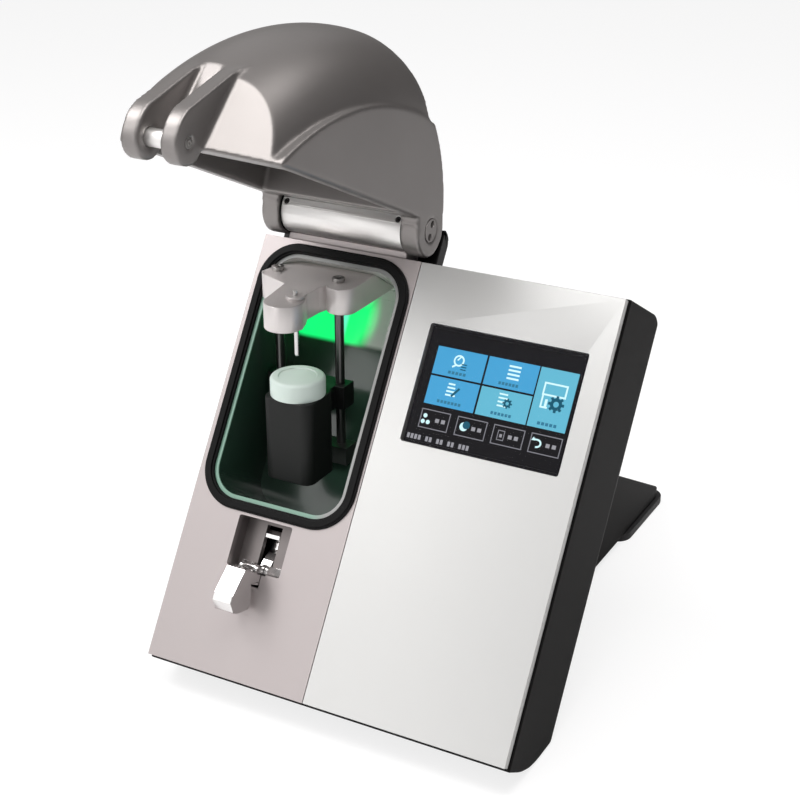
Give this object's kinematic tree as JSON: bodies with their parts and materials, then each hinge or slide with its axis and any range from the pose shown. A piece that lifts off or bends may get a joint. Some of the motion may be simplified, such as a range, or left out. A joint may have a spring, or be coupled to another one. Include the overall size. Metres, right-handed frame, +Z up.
{
  "type": "watch water resistance tester",
  "caption": "Leaning bench tester with a lit pressure chamber under a domed hinged lid, a draw latch, a probe over a sliding watch rest, a touch screen and a long rear foot",
  "frame": {"origin": "middle of the whole tester's footprint, lid open, on the table", "axes": "+Z up, front towards -Y, +X to the right as seen from the front"},
  "size_m": [0.2524, 0.4428, 0.4098],
  "materials": {
    "housing": "black powder coat",
    "chamber_block": "fine matt anodised, warm grey",
    "display_panel": "brushed",
    "chamber_seal": "smooth",
    "chamber_liner": "satin",
    "light_window": "frosted",
    "light_board": "matt",
    "hinge_block": "black powder coat",
    "hinge_barrel": "satin",
    "barrel_screws": "satin",
    "hinge_washers": "matt",
    "hinge_shaft": "ground",
    "shaft_plugs": "fine matt, warm grey",
    "lid_shell": "fine matt, warm grey",
    "fork_pin": "satin",
    "fork_screws": "satin",
    "latch_base": "satin",
    "latch_lever": "soft polish",
    "lever_pin": "satin",
    "draw_hook": "satin",
    "hook_pin": "satin",
    "touch_glass": "clear",
    "display_module": "dark, lit",
    "probe_bracket": "fine matt",
    "bracket_screws": "satin",
    "probe_sleeve": "satin",
    "probe_rod": "ground",
    "probe_spring": "drawn wire",
    "guide_rods": "ground, dark",
    "rod_socket": "satin",
    "rest_carriage": "matt",
    "watch_rest": "soft touch",
    "rest_pad": "soft, pale",
    "rear_foot": "black powder coat",
    "foot_screws": "satin",
    "rear_sole": "fine ribbed",
    "front_feet": "smooth",
    "rear_cover": "satin",
    "cover_screws": "satin",
    "mains_inlet": "matt",
    "rocker_frame": "matt",
    "power_rocker": "gloss",
    "air_pump": "matt",
    "valve_block": "machined",
    "pressure_sensor": "gloss",
    "air_tubes": "smooth",
    "main_board": "satin",
    "power_supply": "satin"
  },
  "bodies": {
    "base": {"housing": "housing", "chamber_block": "chamber_block", "display_panel": "display_panel", "chamber_seal": "chamber_seal", "chamber_liner": "chamber_liner", "light_window": "light_window", "light_board": "light_board", "hinge_block": "hinge_block", "hinge_barrel": "hinge_barrel", "barrel_screws": "barrel_screws", "hinge_washers": "hinge_washers", "latch_base": "latch_base", "lever_pin": "lever_pin", "touch_glass": "touch_glass", "display_module": "display_module", "probe_bracket": "probe_bracket", "bracket_screws": "bracket_screws", "probe_sleeve": "probe_sleeve", "probe_spring": "probe_spring", "guide_rods": "guide_rods", "rod_socket": "rod_socket", "rear_foot": "rear_foot", "foot_screws": "foot_screws", "rear_sole": "rear_sole", "front_feet": "front_feet", "rear_cover": "rear_cover", "cover_screws": "cover_screws", "mains_inlet": "mains_inlet", "rocker_frame": "rocker_frame", "air_pump": "air_pump", "valve_block": "valve_block", "pressure_sensor": "pressure_sensor", "air_tubes": "air_tubes", "main_board": "main_board", "power_supply": "power_supply"},
    "lid": {"lid_shell": "lid_shell", "hinge_shaft": "hinge_shaft", "shaft_plugs": "shaft_plugs", "fork_pin": "fork_pin", "fork_screws": "fork_screws"},
    "lever": {"latch_lever": "latch_lever", "hook_pin": "hook_pin"},
    "hook": {"draw_hook": "draw_hook"},
    "probe": {"probe_rod": "probe_rod"},
    "rest": {"rest_carriage": "rest_carriage", "watch_rest": "watch_rest", "rest_pad": "rest_pad"},
    "rocker": {"power_rocker": "power_rocker"}
  },
  "joints": [
    {"name": "lid_hinge", "type": "hinge", "parent": "base", "child": "lid", "pos_m": [-0.06775, -0.01524, 0.27529], "axis": [1, 0, 0], "range_deg": [0, 82.2]},
    {"name": "latch_lever", "type": "hinge", "parent": "base", "child": "lever", "pos_m": [-0.06775, -0.13858, 0.08078], "axis": [-1, 0, 0], "range_deg": [0, 48]},
    {"name": "draw_hook", "type": "hinge", "parent": "lever", "child": "hook", "pos_m": [-0.06775, -0.13818, 0.07313], "axis": [1, 0, 0], "range_deg": [0, 53]},
    {"name": "probe_slide", "type": "slide", "parent": "base", "child": "probe", "axis": [0, 0, 1], "range_m": [0, 0.006], "stiffness_N_per_m": 250, "springref_m": -0.004, "deforming": ["probe_spring"]},
    {"name": "rest_slide", "type": "slide", "parent": "base", "child": "rest", "axis": [0, 0, 1], "range_m": [-0.016, 0.01]},
    {"name": "power_switch", "type": "hinge", "parent": "base", "child": "rocker", "pos_m": [0.097, -0.06313, 0.07174], "axis": [0, 0.5446, 0.8387], "range_deg": [-18, 0]}
  ]
}
